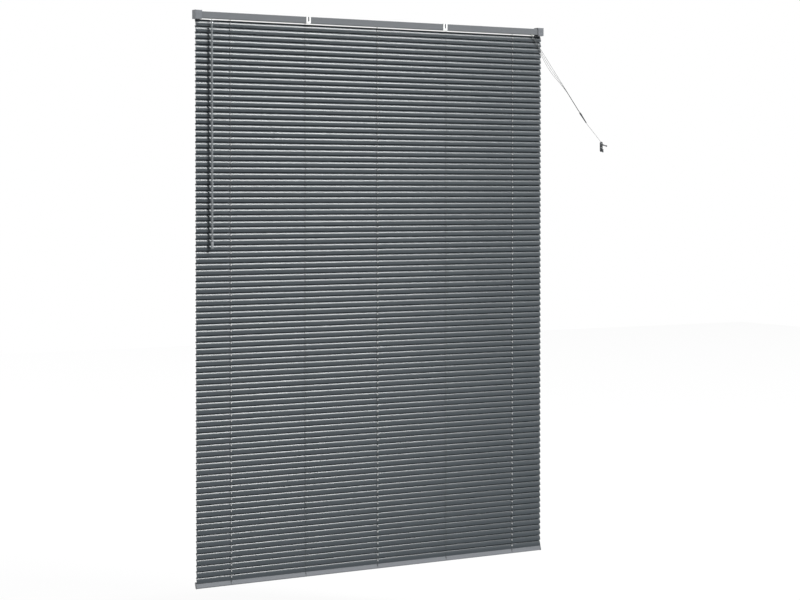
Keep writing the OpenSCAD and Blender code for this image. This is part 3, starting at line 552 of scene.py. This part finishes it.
def drop_unused(points, faces):
    """Leaves out points that no face uses and counts the indices again."""
    used = np.unique(np.concatenate([f.ravel() for f in faces]))
    place = np.full(len(points), -1)
    place[used] = np.arange(len(used))
    return points[used], [place[f] for f in faces]


SLAT_OFFSETS = np.zeros((SLAT_COUNT, 3))
SLAT_OFFSETS[:, 2] = SLAT_FIRST_Z - SLAT_PITCH * np.arange(SLAT_COUNT)
slat_curtain = put_mesh("slat_curtain", *copies(*drop_unused(*slat_sheet()), SLAT_OFFSETS))
slat_curtain.data.materials.append(SLAT_LACQUER)


# Ladders

def beside_rail(a, b):
    """A point beside the bottom rail: a runs across its width to the lower edge, b stands out of its face."""
    y = SLAT_MID_Y - a * math.cos(SLAT_TILT) - b * math.sin(SLAT_TILT)
    z = RAIL_Z - a * math.sin(SLAT_TILT) + b * math.cos(SLAT_TILT)
    return [0.0, y, z]


def make_strings():
    """Front and back strings of a ladder: straight tubes that swell to a knot at every slat. The front one
    runs on over the rail's face to its lower edge."""
    off_rail = RAIL_FACE + STRING_RADIUS + RAIL_CLEARANCE
    over_rail = [beside_rail(a, off_rail) for a in OVER_RAIL]
    above_rail = [[0, BACK_STRING_Y, BACK_STRING_END]]
    shapes = []
    for y, sign, low, ending in ((FRONT_STRING_Y, 1, FRONT_STRING_END, over_rail),
                                 (BACK_STRING_Y, -1, BACK_STRING_END, above_rail)):
        knot = SLAT_OFFSETS[:, 2] - sign * SLAT_HALF_WIDTH * math.sin(SLAT_TILT)
        z = (knot[:, None] + KNOT_REACH * np.array([1, 0.5, -0.5, -1])).ravel()
        wide = np.tile([1.0, KNOT_SWELL, KNOT_SWELL, 1.0], len(knot)) * STRING_RADIUS
        keep = (z < STRING_TOP) & (z > low)
        z = np.concatenate([[STRING_TOP], z[keep]])
        path = np.vstack([np.column_stack([np.zeros_like(z), np.full_like(z, y), z]), ending])
        wide = np.concatenate([[STRING_RADIUS], wide[keep], np.full(len(ending), STRING_RADIUS)])
        shapes.append(tube(path, wide, STRING_SIDES, SIDE_X))
    return shapes


def join(shapes):
    """Several shapes as one list of points and faces, with their UV maps in face order."""
    counts = np.cumsum([0] + [len(s[0]) for s in shapes])
    points = np.concatenate([s[0] for s in shapes])
    faces, uv = [], []
    for shape, first in zip(shapes, counts):
        faces += [f + first for f in shape[1]]
        uv.append(shape[2])
    return points, faces, np.vstack(uv)


def spread(shape, offsets):
    """A tube with its UV map repeated at each offset."""
    points, faces, uv = shape
    many, many_faces = copies(points, faces, offsets)
    times, in_quads = (len(offsets), 1), faces[0].size
    return many, many_faces, np.vstack([np.tile(uv[:in_quads], times), np.tile(uv[in_quads:], times)])


LADDER_OFFSETS = np.zeros((len(LADDER_X), 3))
LADDER_OFFSETS[:, 0] = LADDER_X
ladder_strings = put_mesh("ladder_strings", *join([spread(s, LADDER_OFFSETS) for s in make_strings()]))
ladder_strings.data.materials.append(GREY_BRAID)


def make_rungs():
    """Two thin cross strings under every slat, carried along the slat's hollow side from string to string."""
    c = np.linspace(SLAT_HALF_WIDTH, -SLAT_HALF_WIDTH, RUNG_POINTS)
    under = slat_point(np.zeros_like(c), c, SLAT_THICKNESS + RUNG_GAP)
    front = [0, FRONT_STRING_Y, under[0, 2] - RUNG_GAP]
    back = [0, BACK_STRING_Y, under[-1, 2]]
    shape = tube(np.vstack([front, under, back]), RUNG_RADIUS, RUNG_SIDES, SIDE_X)
    pair = RUNG_HALF_PAIR * np.array([-1, 1])
    x, z = np.meshgrid((LADDER_X[:, None] + pair).ravel(), SLAT_OFFSETS[:, 2], indexing="ij")
    offsets = np.column_stack([x.ravel(), np.zeros(x.size), z.ravel()])
    return spread(shape, offsets)


ladder_rungs = put_mesh("ladder_rungs", *make_rungs())
ladder_rungs.data.materials.append(GREY_BRAID)


# Lift cords inside the blind

def make_lift_cord(k):
    """One lift cord in two stretches: the fall from the headrail's floor to the bottom rail's face, and the
    run along its lane in the headrail, down over the lock's pin."""
    x = LADDER_X[CORD_LADDERS[k]] + CORD_STEP_X
    y = LANE_Y[k]
    off_rail = RAIL_FACE + CORD_DIAMETER / 2 + RAIL_CLEARANCE
    on_rail = [[x, *beside_rail(a, off_rail)[1:]] for a in FALL_ON_RAIL]
    z = np.linspace(on_rail[-1][2] + FALL_OFF_RAIL, FALL_TOP, FALL_POINTS)
    fall = np.vstack([on_rail, np.column_stack([np.full_like(z, x), np.full_like(z, LIFT_Y), z])])
    angle = math.atan2(-PULL_STEP[1], PULL_STEP[0])
    turn = np.linspace(0, angle, PIN_POINTS)[:, None]
    over = np.hstack([LOCK_X + PIN_BEND * np.sin(turn), np.full_like(turn, y),
                      LANE_Z - PIN_BEND + PIN_BEND * np.cos(turn)])
    run = np.vstack([
        [[x, LIFT_Y, FALL_TOP]],
        [[x, LIFT_Y - left, LANE_Z - short] for left, short in RISE_CORNER],
        [[x + left, y + short, LANE_Z] for left, short in LANE_CORNER],
        [[x + LANE_LEAD, y, LANE_Z], [LOCK_X - LANE_LEAD, y, LANE_Z]],
        over,
        [[LOCK_EXIT[0], y, LOCK_EXIT[1]]]])
    return fall, run


def cord_piece(name, path, side, material):
    """A round cord on a path, with its finish."""
    piece = put_mesh(name, *tube(path, CORD_DIAMETER / 2, CORD_SIDES, side), sharp=60)
    piece.data.materials.append(material)
    return piece


lift_falls = []
for k in range(len(CORD_LADDERS)):
    fall_path, run_path = make_lift_cord(k)
    fall = cord_piece(f"lift_cord_fall_{k + 1}", fall_path, SIDE_X, CORD_BRAID)
    run = cord_piece(f"lift_cord_run_{k + 1}", run_path, SIDE_SLANTED, CORD_BRAID)
    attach(fall, "frame")
    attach(run, "frame")
    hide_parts(f"lift_cord_{k + 1}")
    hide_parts(f"lift_cord_{k + 1}")
    lift_falls.append(fall)


# Free cords

def pull_route(k):
    """The route of one pull cord: even steps down to the connector, with a sag, closing in across the
    lanes."""
    i = np.arange(len(PULL_SAG))
    y_end = CONNECTOR_Y + (k - 1) * CONNECTOR_SPREAD
    t = np.clip((i - 1) / (len(i) - 3), 0, 1)
    return np.column_stack([LOCK_EXIT[0] + i * PULL_STEP[0], LANE_Y[k] + (y_end - LANE_Y[k]) * t,
                            LOCK_EXIT[1] + i * PULL_STEP[1] - PULL_SLACK[k] * PULL_SAG])


def tail_route():
    """The tail: a short lead out of the connector, even steps, and one and a quarter turns round the horn."""
    leave = PULL_STEP / np.linalg.norm(PULL_STEP)
    tip = LOCK_EXIT + (len(PULL_SAG) - 1) * PULL_STEP + CONNECTOR_LENGTH * leave
    first = tip + TAIL_LEAD * leave
    start = np.array([first[0], CONNECTOR_Y, first[1]])
    steps = start + np.arange(TAIL_STEPS)[:, None] * TAIL_STEP
    last = start + TAIL_STEPS * TAIL_STEP
    angle = math.atan2(-TAIL_STEP[2], TAIL_STEP[0])
    root = np.array([last[0] - LOOP_RADIUS * math.sin(angle), last[2] - LOOP_RADIUS * math.cos(angle)])
    q = np.linspace(0, 1, LOOP_STEPS + 1)
    a = angle + q * LOOP_TURN
    loop = np.column_stack([root[0] + LOOP_RADIUS * np.sin(a), last[1] + q * LOOP_RISE,
                            root[1] + LOOP_RADIUS * np.cos(a)])
    return np.vstack([[tip[0], CONNECTOR_Y, tip[1]], steps, loop])


for k in range(len(LANE_Y)):
    route = smooth_route(pull_route(k), PULL_PARTS)
    strand = cord_piece(f"pull_strand_{k + 1}", route, SIDE_Y, CORD_BRAID)
    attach(strand, "frame")
    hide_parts(f"pull_cord_{k + 1}")
tail = smooth_route(tail_route(), TAIL_PARTS)
tail_strand = cord_piece("tail_strand", tail, SIDE_Y, CORD_BRAID)
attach(tail_strand, "frame")
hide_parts("tail_cord")


# The slats, ladder strings, rungs and lift cord falls hang from the frame, each with a mesh of its own

for piece, slot in ((slat_curtain, "slat_metal"), (ladder_strings, "cord"), (ladder_rungs, "cord")):
    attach(piece, "frame")
    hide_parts("slats")
for piece in (slat_curtain, ladder_strings, ladder_rungs, *lift_falls):
    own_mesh(piece)


# Studio

def seen_plainly(tree):
    """One for rays from the camera, in reflections and through clear pieces, and nought for the rest."""
    ray = tree.nodes.new("ShaderNodeLightPath")
    glass = math_node(tree, "MAXIMUM", ray.outputs["Is Glossy Ray"], ray.outputs["Is Transmission Ray"])
    return math_node(tree, "MAXIMUM", ray.outputs["Is Camera Ray"], glass)


def make_floor():
    """A flat pale floor: one square, white to the camera with a part of its shading kept."""
    corners = FLOOR_HALF * np.array([[-1, -1], [1, -1], [1, 1], [-1, 1]])
    points = np.column_stack([corners, np.full(4, FLOOR_Z)])
    floor = put_mesh("studio_floor", points, [np.array([[0, 1, 2, 3]])])
    material = bpy.data.materials.new("pale_floor")
    material.use_nodes = True
    tree = material.node_tree
    tree.nodes.remove(tree.nodes["Principled BSDF"])
    share = math_node(tree, "MULTIPLY", seen_plainly(tree), FLOOR_WHITE_SHARE)
    chalk = add_node(tree, "ShaderNodeBsdfDiffuse", Color=FLOOR_CHALK)
    white = add_node(tree, "ShaderNodeEmission", Color=WHITE, Strength=FLOOR_WHITE)
    mix = add_node(tree, "ShaderNodeMixShader", [(0, share), (1, chalk.outputs[0]), (2, white.outputs[0])])
    tree.links.new(mix.outputs[0], tree.nodes["Material Output"].inputs["Surface"])
    floor.data.materials.append(material)


def make_world():
    """White to the camera and in reflections, a plain grey light for the rest."""
    world = bpy.data.worlds.new("studio_world")
    bpy.context.scene.world = world
    world.use_nodes = True
    tree = world.node_tree
    background = tree.nodes["Background"]
    background.inputs["Color"].default_value = WHITE
    strength = raised(tree, WORLD_LIGHT, seen_plainly(tree), 1.0 - WORLD_LIGHT)
    tree.links.new(strength, background.inputs["Strength"])


def make_lamp(name, azimuth, elevation, size, power):
    """A rectangular soft light that looks at the middle of the blind."""
    a, e = math.radians(azimuth), math.radians(elevation)
    away = np.array([math.sin(a) * math.cos(e), -math.cos(a) * math.cos(e), math.sin(e)])
    data = bpy.data.lights.new(name, "AREA")
    data.shape = "RECTANGLE"
    data.size, data.size_y = size
    data.energy = power
    lamp = bpy.data.objects.new(name, data)
    bpy.context.scene.collection.objects.link(lamp)
    lamp.location = LIGHT_CENTRE + LAMP_DISTANCE * away
    lamp.rotation_euler = (math.radians(90 - elevation), 0, a)


make_floor()
make_world()
for lamp_values in LAMPS:
    make_lamp(*lamp_values)

camera_data = bpy.data.cameras.new("camera")
camera_data.lens = CAMERA_LENS
camera_data.sensor_width = CAMERA_SENSOR
camera_data.shift_y = CAMERA_SHIFT_Y
camera_data.clip_end = CAMERA_REACH
camera = bpy.data.objects.new("camera", camera_data)
bpy.context.scene.collection.objects.link(camera)
camera.location = CAMERA_PLACE
camera.rotation_euler = (math.pi / 2 - CAMERA_PITCH, 0, -CAMERA_YAW)
bpy.context.scene.camera = camera
bpy.context.scene.view_settings.view_transform = "Standard"
